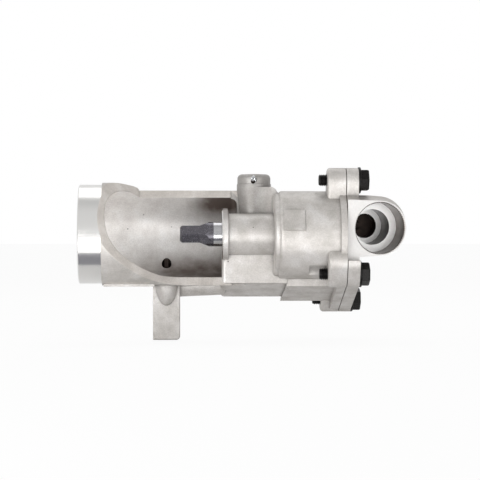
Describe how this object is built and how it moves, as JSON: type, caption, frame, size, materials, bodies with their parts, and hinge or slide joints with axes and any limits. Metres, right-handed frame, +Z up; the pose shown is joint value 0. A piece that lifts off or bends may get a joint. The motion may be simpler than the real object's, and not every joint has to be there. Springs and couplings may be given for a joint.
{
  "type": "engine oil pump",
  "caption": "Gear oil pump for an engine: cast housing with an open barrel and spigot, geared drive shaft, upright relief valve, and a bolted cover with an inlet port.",
  "frame": {"origin": "centre of the spigot where its cylinder begins behind the 0.6 mm chamfer, on the drive shaft's axis", "axes": "+X along the drive shaft to the cover, -Y the side of the barrel window and the inlet port, +Z up towards the relief valve's top, -Z down the delivery leg"},
  "size_m": [0.2112, 0.0944, 0.1128],
  "materials": {
    "cast_aluminium": "shot-blasted casting with machined faces",
    "shaft_steel": "dark hardened, ground journal",
    "gear_steel": "ground",
    "bolt_black": "black phosphate",
    "bush_bronze": "turned bronze",
    "pin_zinc": "bright zinc plate",
    "gasket_fibre": "pressed fibre sheet",
    "spring_steel": "drawn wire"
  },
  "bodies": {
    "housing": {"pump_body": "cast_aluminium", "pump_cover": "cast_aluminium", "cover_gasket": "gasket_fibre", "front_bush": "bush_bronze", "rear_bush": "bush_bronze", "idler_shaft": "gear_steel", "relief_cap": "gear_steel", "split_pin": "pin_zinc", "gallery_plug": "gear_steel", "relief_spring": "spring_steel", "cover_bolt_upper_front": "bolt_black", "cover_bolt_lower_front": "bolt_black", "cover_bolt_lower_back": "bolt_black", "cover_bolt_upper_back": "bolt_black", "dowel_pin_lower": "gear_steel", "dowel_pin_upper": "gear_steel"},
    "drive_rotor": {"drive_shaft": "shaft_steel", "drive_gear": "gear_steel", "gear_key": "gear_steel", "gear_snap_ring": "spring_steel"},
    "idler_rotor": {"idler_gear": "gear_steel", "idler_bush": "bush_bronze"},
    "relief_valve": {"relief_piston": "gear_steel"}
  },
  "joints": [
    {"name": "drive_spin", "type": "hinge", "parent": "housing", "child": "drive_rotor", "pos_m": [0.1, 0, 0], "axis": [1, 0, 0], "continuous": true},
    {"name": "idler_spin", "type": "hinge", "parent": "housing", "child": "idler_rotor", "pos_m": [0.157, 0.03105, -0.00961], "axis": [1, 0, 0], "continuous": true},
    {"name": "relief_slide", "type": "slide", "parent": "housing", "child": "relief_valve", "axis": [0, 0, 1], "range_m": [0, 0.007], "stiffness_N_per_m": 6500, "springref_m": -0.01, "deforming": ["relief_spring"]}
  ],
  "couplings": [
    {"joint": "idler_spin", "follows": "drive_spin", "ratio": -1}
  ]
}
